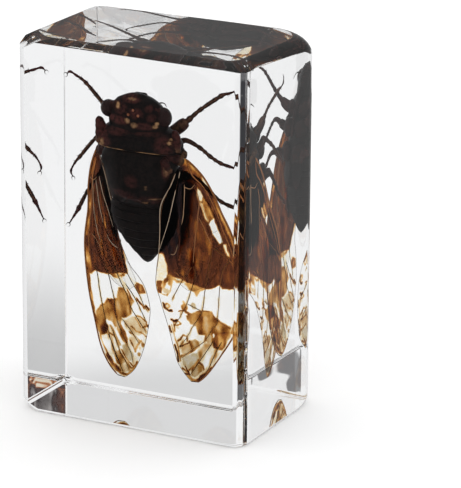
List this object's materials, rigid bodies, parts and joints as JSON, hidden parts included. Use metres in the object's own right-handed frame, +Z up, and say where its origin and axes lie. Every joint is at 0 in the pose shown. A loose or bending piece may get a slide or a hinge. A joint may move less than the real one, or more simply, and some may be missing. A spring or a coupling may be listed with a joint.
{
  "type": "insect in resin block",
  "caption": "Clear resin block, standing on its short end, with a dark patterned-winged cicada cast inside for display or study.",
  "frame": {"origin": "centre of the block's base, on the surface that it stands on", "axes": "+Z up along the block's height, towards the insect's head; -Y out of the broad face that the insect's back is turned to; +X to the right as seen from there"},
  "size_m": [0.029, 0.019, 0.0439],
  "materials": {
    "resin": "polished clear cast resin",
    "shell": "satin black-brown insect shell",
    "wing": "translucent amber and brown wing membrane",
    "leg": "dark brown insect leg"
  },
  "bodies": {
    "root": {"resin_front": "resin", "resin_back": "resin", "body": "shell", "forewing_left": "wing", "forewing_right": "wing", "hindwing_left": "wing", "hindwing_right": "wing", "foreleg_left": "leg", "foreleg_right": "leg", "midleg_left": "leg", "midleg_right": "leg", "hindleg_left": "leg", "hindleg_right": "leg"}
  },
  "joints": []
}
